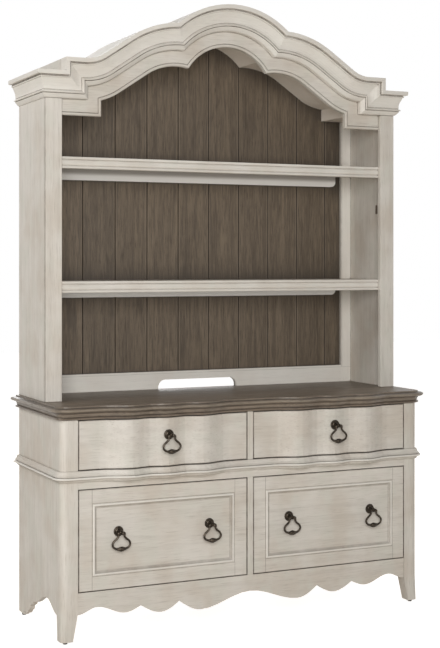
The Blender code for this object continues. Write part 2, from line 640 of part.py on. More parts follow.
def box_mesh(name, bottom, height):
    """Open drawer box about the drawer's centre."""
    bm = bmesh.new()
    add_block(bm, (-BOX_HALF_WIDTH, BOX_FRONT, bottom), (BOX_HALF_WIDTH, BOX_BACK, bottom + height))
    bm.faces.ensure_lookup_table()
    lid = max(bm.faces, key=lambda candidate: candidate.calc_center_median().z)
    bmesh.ops.inset_region(bm, faces=[lid], thickness=BOX_WALL, use_even_offset=True)
    sunk = bmesh.ops.extrude_face_region(bm, geom=[lid])["geom"]
    moved = [item for item in sunk if isinstance(item, bmesh.types.BMVert)]
    bmesh.ops.translate(bm, vec=(0, 0, BOX_BOTTOM - height), verts=moved)
    bmesh.ops.delete(bm, geom=[lid], context="FACES_ONLY")
    return finish_mesh(bm, name)


def add_drawer(side, label, row):
    """One drawer: its front on an origin at the opening's centre, with its box as a child."""
    upper = row == "upper"
    low = RAIL_TOP if upper else APRON_TOP
    high = COUNTER_BOTTOM if upper else RAIL_BOTTOM
    centre_z = (low + high) / 2
    half_height = (high - low) / 2 - DRAWER_REVEAL
    name = row + "_drawer_front_" + label
    mesh = upper_front_mesh(name, half_height) if upper else lower_front_mesh(name, half_height)
    front = add_part(name, mesh, WHITE_PAINT, (side * DRAWER_CENTRE, 0, centre_z))
    ease_edges(front)

    box_bottom = (UPPER_BOX_BOTTOM if upper else LOWER_BOX_BOTTOM) - centre_z
    box_name = row + "_drawer_box_" + label
    box_height = UPPER_BOX_HEIGHT if upper else LOWER_BOX_HEIGHT
    box = add_part(box_name, box_mesh(box_name, box_bottom, box_height), DRAWER_WOOD, parent=front)
    if upper:
        half = GUIDE_WIDTH / 2 + RUNNER_PLAY
        channel = ((-half, BOX_FRONT - CUT_OVERRUN, box_bottom - CUT_OVERRUN),
                   (half, BOX_BACK + CUT_OVERRUN, box_bottom + GUIDE_BITE))
        grooves = [channel]
    else:
        rise = box_bottom + RUNNER_RISE
        bottom = BOX_HALF_WIDTH - RUNNER_BITE
        grooves = []
        for inner, outer in ((bottom, BOX_HALF_WIDTH + CUT_OVERRUN), (-BOX_HALF_WIDTH - CUT_OVERRUN, -bottom)):
            grooves.append(((inner, BOX_FRONT - CUT_OVERRUN, rise - RUNNER_PLAY),
                            (outer, BOX_BACK + CUT_OVERRUN, rise + RUNNER_HEIGHT + RUNNER_PLAY)))
    groove_name = row + "_groove_cutter_" + label
    cut(box, add_cutter(groove_name, block_mesh(groove_name, *grooves), parent=front))

    if upper:
        face = -serpentine(DRAWER_CENTRE) - FIT_GAP
        add_pull(front, row + "_" + label, (0, face, UPPER_PULL_RISE))
    else:
        for place, hand in ((-side * PULL_SPREAD, "inner"), (side * PULL_SPREAD, "outer")):
            add_pull(front, row + "_" + label + "_" + hand, (place, PANEL_SINK - FIT_GAP, LOWER_PULL_RISE))


def add_drawer_guide(side, label):
    """Centre guide under an upper drawer, from the waist rail to the back."""
    top = UPPER_BOX_BOTTOM + GUIDE_BITE - RUNNER_PLAY
    name = "drawer_guide_" + label
    centre = side * DRAWER_CENTRE
    mesh = block_mesh(name, ((centre - GUIDE_WIDTH / 2, RAIL_THICKNESS + FIT_GAP, top - GUIDE_HEIGHT),
                             (centre + GUIDE_WIDTH / 2, BACK_PANEL_FRONT - FIT_GAP, top)))
    add_part(name, mesh, DRAWER_WOOD)


def add_drawer_runners(side, label):
    """Side runners of a lower drawer, fixed to the divider and to the case side."""
    front = FRONT_LEG_DEPTH + FIT_GAP
    back = CASE_DEPTH - REAR_LEG_DEPTH - FIT_GAP
    low = LOWER_BOX_BOTTOM + RUNNER_RISE
    depth_in_groove = BOX_HALF_WIDTH - RUNNER_BITE + RUNNER_PLAY
    inner = (OPENING_INNER + FIT_GAP, DRAWER_CENTRE - depth_in_groove)
    outer = (DRAWER_CENTRE + depth_in_groove, CASE_HALF_WIDTH - BOARD_THICKNESS - FIT_GAP)
    for place, (near, far) in (("inner", inner), ("outer", outer)):
        name = "drawer_runner_" + label + "_" + place
        span = sorted((side * near, side * far))
        mesh = block_mesh(name, ((span[0], front, low), (span[1], back, low + RUNNER_HEIGHT)))
        add_part(name, mesh, DRAWER_WOOD)


def pull_post_mesh(name):
    """Half section of the rosette, eye and ball tip; the Screw modifier turns it about Z."""
    bm = bmesh.new()
    eye_start = PULL_EYE_REACH - PULL_EYE_RADIUS
    tip_start = PULL_EYE_REACH + PULL_EYE_RADIUS
    profile = [(ROSETTE_RADIUS * out, ROSETTE_THICKNESS * along) for out, along in ROSETTE_SHARES]
    profile += [(PULL_NECK_RADIUS, (ROSETTE_THICKNESS + eye_start) / 2)]
    profile += [(PULL_EYE_RADIUS * out, PULL_EYE_REACH + PULL_EYE_RADIUS * along) for out, along in EYE_SHARES]
    profile += [(PULL_TIP_RADIUS * out, tip_start + PULL_TIP_LENGTH * along) for out, along in TIP_SHARES]
    profile.reverse()
    verts = [bm.verts.new((radius, 0, z)) for radius, z in profile]
    for start, end in zip(verts, verts[1:]):
        bm.edges.new((start, end))
    mesh = bpy.data.meshes.new(name)
    bm.to_mesh(mesh)
    bm.free()
    return mesh


def ring_path():
    """Closed pear-shaped line of the drop ring, with the wire's radius at each point."""
    half = [(RING_HALF_WIDTH * out, -RING_DROP * down) for out, down in RING_SHARES]
    bottom = (0, -RING_DROP)
    keys = half + [bottom] + [(-x, z) for x, z in reversed(half[1:])]
    count = len(keys)
    path = []
    for i in range(count):
        before, start, end, after = (keys[(i + k) % count] for k in (-1, 0, 1, 2))
        for j in range(RING_SUBSTEPS):
            t = j / RING_SUBSTEPS
            point = []
            for a, b, c, d in zip(before, start, end, after):
                slope_in = (c - a) / 2
                slope_out = (d - b) / 2
                point.append(b + slope_in * t + (3 * (c - b) - 2 * slope_in - slope_out) * t ** 2
                             + (2 * (b - c) + slope_in + slope_out) * t ** 3)
            path.append(tuple(point))
    swollen = []
    for x, z in path:
        lower = z < -RING_DROP / 2
        share = max(1 - abs(x) / (RING_GRIP_SHARE * RING_HALF_WIDTH), 0) if lower else 0
        swollen.append((x, z, RING_WIRE_RADIUS + (RING_GRIP_RADIUS - RING_WIRE_RADIUS) * eased(share)))
    return swollen


def ring_curve(name):
    curve = bpy.data.curves.new(name, "CURVE")
    curve.dimensions = "3D"
    curve.twist_mode = "MINIMUM"
    curve.bevel_depth = RING_WIRE_RADIUS
    curve.bevel_resolution = RING_BEVEL_RESOLUTION
    path = ring_path()
    spline = curve.splines.new("POLY")
    spline.points.add(len(path) - 1)
    for point, (x, z, radius) in zip(spline.points, path):
        point.co = (x, 0, z, 1)
        point.radius = radius / RING_WIRE_RADIUS
    spline.use_cyclic_u = True
    return curve


def add_pull(drawer, label, location):
    """Rosette with its post on a drawer front, and the drop ring through the post's eye."""
    name = "pull_post_" + label
    post = add_part(name, pull_post_mesh(name), DARK_BRONZE, location, (math.pi / 2, 0, 0), drawer)
    screw = post.modifiers.new("turned", "SCREW")
    screw.steps = SCREW_STEPS
    screw.render_steps = SCREW_STEPS
    screw.use_merge_vertices = True
    screw.merge_threshold = WELD_DISTANCE
    screw.use_smooth_shade = True

    eye = (location[0], location[1] - PULL_EYE_REACH, location[2])
    cutter_name = "pull_eye_cutter_" + label
    bm = bmesh.new()
    bmesh.ops.create_cone(bm, cap_ends=True, segments=SCREW_STEPS, radius1=PULL_HOLE_RADIUS,
                          radius2=PULL_HOLE_RADIUS, depth=2 * (PULL_EYE_RADIUS + CUT_OVERRUN))
    cutter = add_cutter(cutter_name, finish_mesh(bm, cutter_name), eye, (0, math.pi / 2, 0), drawer)
    cut(post, cutter)

    add_part("pull_ring_" + label, ring_curve("pull_ring_" + label), DARK_BRONZE, eye, parent=drawer)


# Hutch

def add_hutch_side(side, label):
    name = "hutch_post_" + label
    span = sorted((side * HUTCH_OPENING, side * CASE_HALF_WIDTH))
    mesh = block_mesh(name, ((span[0], HUTCH_FRONT, HUTCH_FLOOR),
                             (span[1], HUTCH_FRONT + HUTCH_POST_DEPTH, CROWN_LINE - FIT_GAP)))
    ease_edges(add_part(name, mesh, WHITE_PAINT))

    name = "hutch_side_" + label
    span = sorted((side * HUTCH_WALL, side * CASE_HALF_WIDTH))
    mesh = block_mesh(name, ((span[0], HUTCH_FRONT + HUTCH_POST_DEPTH + FIT_GAP, HUTCH_FLOOR),
                             (span[1], CASE_DEPTH, CROWN_LINE + ROOF_LINE - FIT_GAP)))
    add_part(name, mesh, WHITE_PAINT)


def wire_slot_half():
    """Right half of the slot that is open to the counter, from its top at the middle down."""
    corner = (WIRE_SLOT_HALF_WIDTH - WIRE_SLOT_RADIUS, HUTCH_FLOOR + WIRE_SLOT_HEIGHT - WIRE_SLOT_RADIUS)
    half = arc_points(corner, WIRE_SLOT_RADIUS, math.pi / 2, 0, CORNER_STEPS)
    return half + [(WIRE_SLOT_HALF_WIDTH, HUTCH_FLOOR)]


def add_back_frame():
    """Two stiles and a bottom rail with the rounded wire slot at its middle."""
    half = HUTCH_WALL - FIT_GAP
    inner = half - BACK_STILE_WIDTH
    top = CROWN_LINE - FIT_GAP
    rail_top = HUTCH_FLOOR + BACK_RAIL_HEIGHT
    right = wire_slot_half() + [(half, HUTCH_FLOOR), (half, top), (inner, top), (inner, rail_top)]
    left = [(-x, z) for x, z in reversed(right)]
    mesh = board_mesh("back_frame", right + left, "xz", BACK_FRAME_FRONT, BACK_FRAME_THICKNESS)
    add_part("back_frame", mesh, WHITE_PAINT)


def groove_mesh(name):
    """V-shaped prisms at the joints between planks."""
    bm = bmesh.new()
    count = math.ceil(HUTCH_WALL / PLANK_WIDTH)
    front = PLANK_FRONT - CUT_OVERRUN
    flare = GROOVE_HALF_WIDTH * (1 + CUT_OVERRUN / GROOVE_DEPTH)
    low = COUNTER_TOP
    high = pediment_half(CROWN_HEIGHT)[0][1] + CUT_OVERRUN
    for i in range(-count, count):
        x = PLANK_SHIFT + (i + 1 / 2) * PLANK_WIDTH
        if abs(x) + GROOVE_HALF_WIDTH >= HUTCH_WALL - FIT_GAP:
            continue
        section = [(x - flare, front), (x + flare, front), (x, PLANK_FRONT + GROOVE_DEPTH)]
        rings = [[bm.verts.new((a, b, z)) for a, b in section] for z in (low, high)]
        bm.faces.new(rings[0])
        bm.faces.new(list(reversed(rings[1])))
        for j in range(3):
            k = (j + 1) % 3
            bm.faces.new((rings[0][j], rings[1][j], rings[1][k], rings[0][k]))
    return finish_mesh(bm, name)


def add_back_planks():
    half = HUTCH_WALL - FIT_GAP
    slot = wire_slot_half() + [(half, HUTCH_FLOOR)]
    outline = pediment_line(ROOF_LINE - FIT_GAP, half) + slot[::-1] + [(-x, z) for x, z in slot]
    mesh = board_mesh("back_planks", outline, "xz", PLANK_FRONT, PLANK_THICKNESS)
    planks = add_part("back_planks", mesh, PLANK_STAIN)
    cut(planks, add_cutter("plank_groove_cutter", groove_mesh("plank_groove_cutter")))


def add_shelf(label, rise):
    top = COUNTER_TOP + rise
    wall = HUTCH_WALL - FIT_GAP
    front = HUTCH_FACE + SHELF_EDGE_DEPTH + FIT_GAP
    post_back = HUTCH_FRONT + HUTCH_POST_DEPTH + FIT_GAP
    frame = BACK_FRAME_FRONT - FIT_GAP
    stile = wall - BACK_STILE_WIDTH - FIT_GAP
    planks = PLANK_FRONT - FIT_GAP
    right = [(HUTCH_OPENING, front), (HUTCH_OPENING, post_back), (wall, post_back), (wall, frame),
             (stile, frame), (stile, planks)]
    outline = right + [(-x, y) for x, y in reversed(right)]
    name = "shelf_" + label
    add_part(name, board_mesh(name, outline, "xy", top - SHELF_THICKNESS, SHELF_THICKNESS), WHITE_PAINT)

    end = HUTCH_OPENING - FIT_GAP
    profile = [(HUTCH_FACE + SHELF_EDGE_DEPTH * back, top - SHELF_EDGE_HEIGHT * (1 - up))
               for back, up in SHELF_EDGE_PROFILE_SHARES]
    profile += [(HUTCH_FACE + SHELF_EDGE_DEPTH, top - SHELF_EDGE_HEIGHT), (HUTCH_FACE + SHELF_EDGE_DEPTH, top)]
    name = "shelf_edge_" + label
    add_part(name, board_mesh(name, profile, "yz", -end, 2 * end), WHITE_PAINT)

    cleat_end = HUTCH_WALL - CLEAT_END_CLEARANCE
    cleat_top = top - SHELF_THICKNESS - FIT_GAP
    cleat_bottom = top - SHELF_EDGE_HEIGHT - CLEAT_SHOWN
    corner = (cleat_end - CLEAT_CORNER_RADIUS, cleat_bottom + CLEAT_CORNER_RADIUS)
    right = arc_points(corner, CLEAT_CORNER_RADIUS, -math.pi / 2, 0, CORNER_STEPS) + [(cleat_end, cleat_top)]
    outline = right + [(-x, z) for x, z in reversed(right)]
    name = "shelf_cleat_" + label
    mesh = board_mesh(name, outline, "xz", planks - CLEAT_THICKNESS, CLEAT_THICKNESS)
    add_part(name, mesh, WHITE_PAINT)


def band_sections(rows, end_x):
    """Sections along the pediment for rows of (offset from the crown's lower line, y)."""
    lines = [[(x, y, z) for x, z in pediment_line(offset, end_x)] for offset, y in rows]
    return [list(section) for section in zip(*lines)]


def add_frieze():
    """Board from below the crown up behind it, with a bead along its lower edge."""
    face = HUTCH_FACE
    back = face + FRIEZE_THICKNESS
    low = -FRIEZE_DROP
    bead = low + FRIEZE_BEAD_HEIGHT
    proud = face - FRIEZE_BEAD_PROUD
    ease = FRIEZE_BEAD_PROUD
    rows = [(low, back), (low, face), (low + ease, proud), (bead - ease, proud), (bead, face),
            (bead, face + FRIEZE_QUIRK), (bead + FRIEZE_QUIRK, face), (ROOF_LINE - FIT_GAP, face),
            (ROOF_LINE - FIT_GAP, back)]
    sections = band_sections(rows, HUTCH_OPENING - FIT_GAP)
    add_part("frieze_board", skinned_mesh("frieze_board", sections), WHITE_PAINT)


def add_soffit_and_roof():
    front = HUTCH_FACE + FRIEZE_THICKNESS + FIT_GAP
    back = PLANK_FRONT - FIT_GAP
    rows = [(0, front), (0, back), (SOFFIT_THICKNESS, back), (SOFFIT_THICKNESS, front)]
    mesh = skinned_mesh("arch_soffit", band_sections(rows, HUTCH_WALL - FIT_GAP))
    add_part("arch_soffit", mesh, WHITE_PAINT)

    rows = [(ROOF_LINE, HUTCH_FACE), (ROOF_LINE, CASE_DEPTH), (CROWN_HEIGHT, CASE_DEPTH),
            (CROWN_HEIGHT, HUTCH_FACE)]
    mesh = skinned_mesh("hutch_roof", band_sections(rows, CASE_HALF_WIDTH))
    add_part("hutch_roof", mesh, WHITE_PAINT)


def add_crown():
    """Crown along the pediment and back along both sides, mitred at the ears."""
    lines = []
    for out, up in CROWN_PROFILE_SHARES:
        projection = CROWN_PROJECTION * out
        offset = CROWN_HEIGHT * up
        side = CASE_HALF_WIDTH + FIT_GAP + projection
        lines.append((offset, HUTCH_FRONT - projection, side))
    for offset in (CROWN_HEIGHT, 0):
        lines.append((offset, HUTCH_FACE - FIT_GAP, CASE_HALF_WIDTH + FIT_GAP))
    rows = []
    for offset, front, side in lines:
        row = [(x, front, z) for x, z in pediment_line(offset, side)]
        height = CROWN_LINE + offset
        rows.append([(-side, CASE_DEPTH, height)] + row + [(side, CASE_DEPTH, height)])
    sections = [list(section) for section in zip(*rows)]
    add_part("crown_molding", skinned_mesh("crown_molding", sections), WHITE_PAINT)


def add_touch_plate():
    place = (HUTCH_WALL - FIT_GAP - TOUCH_PLATE_THICKNESS / 2, HUTCH_FRONT + TOUCH_PLATE_SETBACK,
             COUNTER_TOP + TOUCH_PLATE_RISE)
    low = (-TOUCH_PLATE_THICKNESS / 2, -TOUCH_PLATE_WIDTH / 2, -TOUCH_PLATE_HEIGHT / 2)
    high = (TOUCH_PLATE_THICKNESS / 2, TOUCH_PLATE_WIDTH / 2, TOUCH_PLATE_HEIGHT / 2)
    plate = add_part("light_touch_plate", block_mesh("light_touch_plate", (low, high)), GLIDE_PLASTIC, place)
    ease_edges(plate, EDGE_EASE / 2)


for side, label in ((-1, "left"), (1, "right")):
    add_front_leg(side, label)
    add_rear_leg(side, label)
    add_glides(side, label)
    add_base_side(side, label)
    add_drawer(side, label, "upper")
    add_drawer(side, label, "lower")
    add_drawer_guide(side, label)
    add_drawer_runners(side, label)
    add_hutch_side(side, label)
add_apron()
add_case_panels()
add_divider()
add_waist()
add_countertop()
add_back_frame()
add_back_planks()
add_shelf("lower", LOWER_SHELF_RISE)
add_shelf("upper", UPPER_SHELF_RISE)
add_frieze()
add_soffit_and_roof()
add_crown()
add_touch_plate()
bpy.context.view_layer.update()
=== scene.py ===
"""Looks of the credenza with hutch: materials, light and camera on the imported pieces."""

import math

import bpy
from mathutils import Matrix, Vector


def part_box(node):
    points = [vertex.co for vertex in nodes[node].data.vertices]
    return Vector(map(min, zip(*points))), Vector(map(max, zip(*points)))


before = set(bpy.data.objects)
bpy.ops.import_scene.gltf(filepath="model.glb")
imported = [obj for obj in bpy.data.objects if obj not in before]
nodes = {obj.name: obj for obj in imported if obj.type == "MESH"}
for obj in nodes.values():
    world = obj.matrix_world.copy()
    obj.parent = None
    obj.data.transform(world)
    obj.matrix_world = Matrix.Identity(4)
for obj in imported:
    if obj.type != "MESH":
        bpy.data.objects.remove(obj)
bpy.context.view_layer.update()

# Places on the object that the materials need, in metres
PLANK_WIDTH = 0.1275
PLANK_SHIFT = -0.0125
BACK_STILE_WIDTH = 0.044
BACK_RAIL_HEIGHT = 0.066
BACK_RAIL_BEAD = 0.0075
DRAWER_FRAME_WIDTH = 0.0465

# Soft lines on a drawer front: inset from its outer edge, half width and strength. The rim line is glaze
# together with painted shade of the gap, the bead's outer and inner lines are painted shade, and the crest
# line is a painted highlight.
RIM_GLAZE_AND_SHADE_LINE = (0.0, 0.0030, 0.62)
BEAD_OUTER_SHADE_LINE = (DRAWER_FRAME_WIDTH + 0.0010, 0.0022, 0.50)
BEAD_HIGHLIGHT_LINE = (DRAWER_FRAME_WIDTH + 0.0060, 0.0045, 0.70)
BEAD_INNER_SHADE_LINE = (DRAWER_FRAME_WIDTH + 0.0142, 0.0065, 0.42)

# Soft lines on mouldings: depth under the piece's top, half width and strength. The waist's and the
# counter's dark lines and the cleat's line are painted shade, and the waist's bead line and the counter's
# pale lines are painted highlights.
WAIST_SHADE_LINES = ((0.0160, 0.0035, 0.16), (0.0330, 0.0028, 0.30))
WAIST_BEAD_HIGHLIGHT_LINES = ((0.0225, 0.0040, 0.70),)
COUNTER_HIGHLIGHT_LINES = ((0.0030, 0.0022, 0.28), (0.0125, 0.0060, 0.40), (0.0300, 0.0065, 0.24))
COUNTER_SHADE_LINES = ((0.0056, 0.0024, 0.55), (0.0213, 0.0032, 0.50), (0.0370, 0.0024, 0.45))
CLEAT_SHADE_LINES = ((0.0, 0.027, 0.66),)

# Other soft lines: half width and strength
STILE_JOINT_LINE = (0.0014, 0.62)
BACK_STILE_LINE = (0.0045, 0.34)
BACK_RAIL_LINE = (0.0016, 0.34)
POST_EDGE_LINE = (0.0016, 0.40)

# Colours, linear
PAINT_PALE = (0.665, 0.625, 0.565)
PAINT_WARM = (0.582, 0.526, 0.455)
PAINT_COOL = (0.614, 0.590, 0.522)
PAINT_STREAK = (0.76, 0.73, 0.67)
# Painted highlight on the beads of the waist moulding and the lower drawer fronts
PAINTED_BEAD_HIGHLIGHT = (0.80, 0.77, 0.71)
# Paler paints mixed in as painted light on shelf edges, back frame, crown, soffit and cleats
PAINTED_LIGHT_PAINT = (0.86, 0.83, 0.77)
CLEAT_PAINTED_LIGHT = (0.93, 0.915, 0.885)
SOFFIT_PAINTED_LIGHT = (0.93, 0.85, 0.75)
# Brown glaze, also used as painted shade in hollows and along drawn lines
GLAZE_AND_PAINTED_SHADE = (0.115, 0.085, 0.062)
RUBBED = (0.230, 0.180, 0.138)
PLANK_PALE = (0.156, 0.118, 0.080)
PLANK_MIDDLE = (0.095, 0.070, 0.046)
PLANK_DARK = (0.044, 0.031, 0.020)
# Pale worn flecks, also used for painted highlights beside the board grooves
PLANK_WORN_AND_HIGHLIGHT = (0.215, 0.172, 0.128)
PLANK_FIGURE = (0.215, 0.165, 0.108)
# Painted shade where the boards lie deep behind posts, shelves and frieze
PLANK_PAINTED_SHADE = (0.036, 0.027, 0.019)
PLANK_GROOVE = (0.020, 0.016, 0.012)
COUNTER_PALE = (0.206, 0.158, 0.116)
COUNTER_MIDDLE = (0.110, 0.082, 0.058)
COUNTER_DARK = (0.042, 0.031, 0.022)
# Worn colour of the edges, also used for painted highlights along the moulding
COUNTER_WORN_AND_HIGHLIGHT = (0.29, 0.252, 0.196)
# Painted shade in the hollows and quirks of the counter
COUNTER_PAINTED_SHADE = (0.020, 0.016, 0.013)
DRAWER_WOOD_PALE = (0.560, 0.405, 0.255)
DRAWER_WOOD_DARK = (0.385, 0.250, 0.140)
DRAWER_WOOD_GRAIN = (0.25, 0.15, 0.08)
BRONZE = (0.024, 0.019, 0.014)
BRONZE_CLOUD = (0.090, 0.068, 0.048)
BRONZE_RUBBED = (0.150, 0.105, 0.066)
PLASTIC = (0.028, 0.027, 0.026)
PLASTIC_PALE = (0.040, 0.038, 0.036)
PLATE = (0.085, 0.058, 0.040)
PLATE_PALE = (0.120, 0.086, 0.062)
FLOOR = (0.62, 0.57, 0.50)
WHITE = (1.0, 1.0, 1.0)

# Shading
GRAIN_SQUEEZE = 0.055
PLANK_SQUEEZE = 0.045
FIGURE_SQUEEZE = 0.30
SIDEWAYS = 0.75
RAY_SAMPLES = 8
CURVE_RADIUS = 0.016
METALLIC = 0.85

# Sockets of the Mix node for colours and for vectors: its two values and its result
MIX_SOCKETS = {"RGBA": (6, 7, 2), "VECTOR": (4, 5, 1)}

# Camera: level, to the left of the object, at the photograph's distance
FOCAL_PIXELS = 1357.0
IMAGE_HEIGHT = 648.0
HORIZON_ROW = 263.0
SENSOR_WIDTH = 36.0
CAMERA_X = -2.126
CAMERA_BEFORE_FRONT = 4.268
CAMERA_HEIGHT = 1.2633
CAMERA_TURN = -25.2

# Lamps: name, target, azimuth (0 in front, negative to the left), elevation, distance, size and power
LAMPS = (
    ("front_light", (0.0, 0.0, 1.28), -24, 6, 5.0, 2.0, 157),
    ("side_light", (-0.3, 0.1, 1.75), -84, 20, 3.6, 1.5, 54),
    ("right_light", (0.3, 0.2, 1.2), 97, 12, 4.2, 1.6, 44),
    ("rear_light", (0.3, 0.4, 1.2), 176, 22, 4.6, 2.0, 84),
)
SURROUND = 0.16
FLOOR_GLOW = 0.88
FLOOR_REACH = 14.0


# Shader helpers

def start_material(name):
    material = bpy.data.materials.new(name)
    material.use_nodes = True
    tree = material.node_tree
    return material, tree, tree.nodes["Principled BSDF"]


def wire(tree, value, socket):
    if isinstance(value, bpy.types.NodeSocket):
        tree.links.new(value, socket)
    elif isinstance(value, tuple) and socket.type == "RGBA":
        socket.default_value = (*value, 1.0)
    else:
        socket.default_value = value


def math_node(tree, operation, a, b=0.0, clamp=False):
    step = tree.nodes.new("ShaderNodeMath")
    step.operation = operation
    step.use_clamp = clamp
    wire(tree, a, step.inputs[0])
    wire(tree, b, step.inputs[1])
    return step.outputs[0]


def smooth_range(tree, value, low, high, out_low=0.0, out_high=1.0):
    step = tree.nodes.new("ShaderNodeMapRange")
    step.interpolation_type = "SMOOTHSTEP"
    wire(tree, value, step.inputs["Value"])
    step.inputs["From Min"].default_value = low
    step.inputs["From Max"].default_value = high
    step.inputs["To Min"].default_value = out_low
    step.inputs["To Max"].default_value = out_high
    return step.outputs["Result"]


def mix(tree, factor, a, b, kind="RGBA", blend="MIX"):
    first, second, result = MIX_SOCKETS[kind]
    step = tree.nodes.new("ShaderNodeMix")
    step.data_type = kind
    step.blend_type = blend
    wire(tree, factor, step.inputs["Factor"])
    wire(tree, a, step.inputs[first])
    wire(tree, b, step.inputs[second])
    return step.outputs[result]


def lay(tree, colour, other, mask, span, shares):
    """Another colour over the first, in shares that go from one to the other over a span of the mask."""
    return mix(tree, smooth_range(tree, mask, *span, *shares), colour, other)


def noise(tree, vector, scale, detail=2.0, roughness=0.5, distortion=0.0):
    step = tree.nodes.new("ShaderNodeTexNoise")
    wire(tree, vector, step.inputs["Vector"])
    step.inputs["Scale"].default_value = scale
    step.inputs["Detail"].default_value = detail
    step.inputs["Roughness"].default_value = roughness
    wire(tree, distortion, step.inputs["Distortion"])
    return step.outputs["Fac"]


def own_coordinates(tree):
    return tree.nodes.new("ShaderNodeTexCoord").outputs["Object"]


def stretch(tree, vector, scale):
    step = tree.nodes.new("ShaderNodeVectorMath")
    step.operation = "MULTIPLY"
    wire(tree, vector, step.inputs[0])
    step.inputs[1].default_value = scale
    return step.outputs[0]


def split(tree, vector):
    step = tree.nodes.new("ShaderNodeSeparateXYZ")
    wire(tree, vector, step.inputs[0])
    return step.outputs


def grey(tree, value):
    step = tree.nodes.new("ShaderNodeCombineColor")
    for socket in step.inputs:
        wire(tree, value, socket)
    return step.outputs[0]


def face_normal(tree):
    """Normal of the flat face, in the piece's own coordinates."""
    geometry = tree.nodes.new("ShaderNodeNewGeometry")
    turn = tree.nodes.new("ShaderNodeVectorTransform")
    turn.vector_type = "NORMAL"
    turn.convert_from = "WORLD"
    turn.convert_to = "OBJECT"
    tree.links.new(geometry.outputs["True Normal"], turn.inputs[0])
    return turn.outputs[0]


def grain_vector(tree, along, turns=False):
    """Own coordinates squeezed along the grain; with turns, it follows the sides of a wrapped moulding."""
    place = own_coordinates(tree)
    squeeze = GRAIN_SQUEEZE
    scales = {"x": (squeeze, 1, 1), "y": (1, squeeze, 1), "z": (1, 1, squeeze)}
    main = stretch(tree, place, scales[along])
    if not turns:
        return main
    side = stretch(tree, place, scales["y"])
    facing = math_node(tree, "ABSOLUTE", split(tree, face_normal(tree))[0])
    return mix(tree, math_node(tree, "GREATER_THAN", facing, SIDEWAYS), main, side, "VECTOR")


def closeness(tree, distance, inside):
    """0 on open faces, towards 1 in hollows, or at outer edges where it looks inside the piece."""
    step = tree.nodes.new("ShaderNodeAmbientOcclusion")
    step.samples = RAY_SAMPLES
    step.inside = inside
    step.only_local = inside
    step.inputs["Distance"].default_value = distance
    return math_node(tree, "SUBTRACT", 1.0, step.outputs["AO"], clamp=True)


def from_middle(tree, value, low, high):
    return math_node(tree, "ABSOLUTE", math_node(tree, "SUBTRACT", value, (low + high) / 2))


def front_places(tree, box):
    """On a drawer front: distance from the middle across and up, and inset from the nearest outer edge."""
    low, high = box
    x, _, z = split(tree, own_coordinates(tree))
    across = from_middle(tree, x, low.x, high.x)
    up = from_middle(tree, z, low.z, high.z)
    inset_x = math_node(tree, "SUBTRACT", (high.x - low.x) / 2, across)
    inset_z = math_node(tree, "SUBTRACT", (high.z - low.z) / 2, up)
    return across, up, math_node(tree, "MINIMUM", inset_x, inset_z)


def even_curve(tree, box):
    """Normal that runs evenly over the facets of a wavy front, and stays sharp at its edges."""
    inset = front_places(tree, box)[2]
    rounded = tree.nodes.new("ShaderNodeBevel")
    rounded.samples = RAY_SAMPLES
    rounded.inputs["Radius"].default_value = CURVE_RADIUS
    geometry = tree.nodes.new("ShaderNodeNewGeometry")
    inside = smooth_range(tree, inset, CURVE_RADIUS, CURVE_RADIUS * 1.25)
    return mix(tree, inside, geometry.outputs["Normal"], rounded.outputs[0], "VECTOR")


def bump(tree, shader, height, strength, distance, normal=None):
    step = tree.nodes.new("ShaderNodeBump")
    step.inputs["Strength"].default_value = strength
    step.inputs["Distance"].default_value = distance
    wire(tree, height, step.inputs["Height"])
    if normal:
        tree.links.new(normal, step.inputs["Normal"])
    tree.links.new(step.outputs[0], shader.inputs["Normal"])


# Soft lines, as masks

def band(tree, value, middle, half_width, strength):
    """Soft line of one strength where the value lies within the half width of the middle."""
    off = math_node(tree, "ABSOLUTE", math_node(tree, "SUBTRACT", value, middle))
    return smooth_range(tree, off, half_width * 0.35, half_width, strength, 0.0)


def strongest(tree, masks):
    total = masks[0]
    for mask in masks[1:]:
        total = math_node(tree, "MAXIMUM", total, mask)
    return total


def under_top(name, lines):
    """Lines given by their depth under a piece's top, turned into heights."""
    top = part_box(name)[1].z
    return [(top - depth, half_width, strength) for depth, half_width, strength in lines]


def height_lines(tree, lines):
    """Level lines round a moulding: (height, half width, strength) of each."""
    z = split(tree, own_coordinates(tree))[2]
    return strongest(tree, [band(tree, z, *line) for line in lines])


def upright_line(tree, line):
    """Upright seam: its place along x, half width and strength."""
    x = split(tree, own_coordinates(tree))[0]
    return band(tree, x, *line)


def rim_lines(tree, box):
    """Glaze along the outer edges of a drawer front, together with painted shade of the gap around it."""
    return band(tree, front_places(tree, box)[2], *RIM_GLAZE_AND_SHADE_LINE)


def drawer_lines(tree, box):
    """On a framed drawer front: glaze where stiles meet rails, painted shade on both sides of the bead, and
    glaze with painted gap shade at the rim.
    """
    low, high = box
    across, up, inset = front_places(tree, box)
    joint = band(tree, across, (high.x - low.x) / 2 - DRAWER_FRAME_WIDTH, *STILE_JOINT_LINE)
    on_rail = math_node(tree, "GREATER_THAN", up, (high.z - low.z) / 2 - DRAWER_FRAME_WIDTH)
    joint = math_node(tree, "MULTIPLY", joint, on_rail)
    lines = [band(tree, inset, *line) for line in (BEAD_OUTER_SHADE_LINE, BEAD_INNER_SHADE_LINE, RIM_GLAZE_AND_SHADE_LINE)]
    return strongest(tree, [joint, *lines])


def drawer_bead_highlight(tree, box):
    """Painted highlight along the raised bead of a framed drawer front."""
    return band(tree, front_places(tree, box)[2], *BEAD_HIGHLIGHT_LINE)


